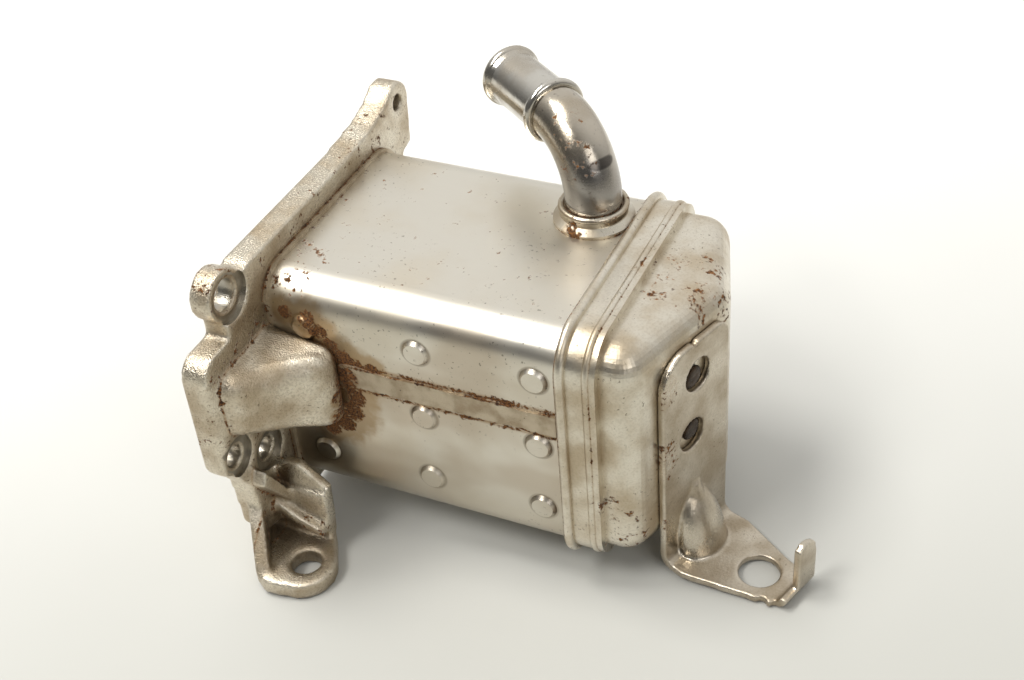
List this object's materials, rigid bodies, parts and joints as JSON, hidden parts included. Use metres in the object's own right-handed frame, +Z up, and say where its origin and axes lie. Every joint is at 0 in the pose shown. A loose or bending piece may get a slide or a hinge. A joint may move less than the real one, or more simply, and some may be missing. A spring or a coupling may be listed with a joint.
{
  "type": "egr cooler",
  "caption": "Compact exhaust gas cooler: pressed steel case with a gas tube core on a cast mounting flange, with hose pipe, end cap and support bracket.",
  "frame": {"origin": "middle of the case's section on the flange's gasket face", "axes": "+X along the case toward the end cap, +Y away from the water hood, +Z up out of the hose pipe's side"},
  "size_m": [0.1593, 0.1248, 0.122],
  "materials": {
    "cast_steel": "fine cast, stained",
    "pressed_steel": "satin, stained",
    "braze": "matt, rusty edges",
    "pipe_steel": "polished, heat tinted",
    "rolled_steel": "rolled satin",
    "weld": "burnt",
    "core_steel": "plain"
  },
  "bodies": {
    "root": {"flange_casting": "cast_steel", "upper_case": "pressed_steel", "lower_case": "pressed_steel", "end_cap": "pressed_steel", "near_seam": "braze", "far_seam": "braze", "flange_braze": "braze", "coolant_pipe": "pipe_steel", "pipe_collar": "pipe_steel", "support_bracket": "rolled_steel", "bracket_welds": "weld", "front_tube_plate": "core_steel", "rear_tube_plate": "core_steel", "gas_tube_1": "core_steel", "gas_tube_2": "core_steel", "gas_tube_3": "core_steel", "gas_tube_4": "core_steel", "gas_tube_5": "core_steel", "gas_tube_6": "core_steel", "gas_tube_7": "core_steel", "gas_tube_8": "core_steel", "tube_fin_1": "core_steel", "tube_fin_2": "core_steel", "tube_fin_3": "core_steel", "tube_fin_4": "core_steel", "tube_fin_5": "core_steel", "tube_fin_6": "core_steel", "tube_fin_7": "core_steel", "tube_fin_8": "core_steel"}
  },
  "joints": []
}
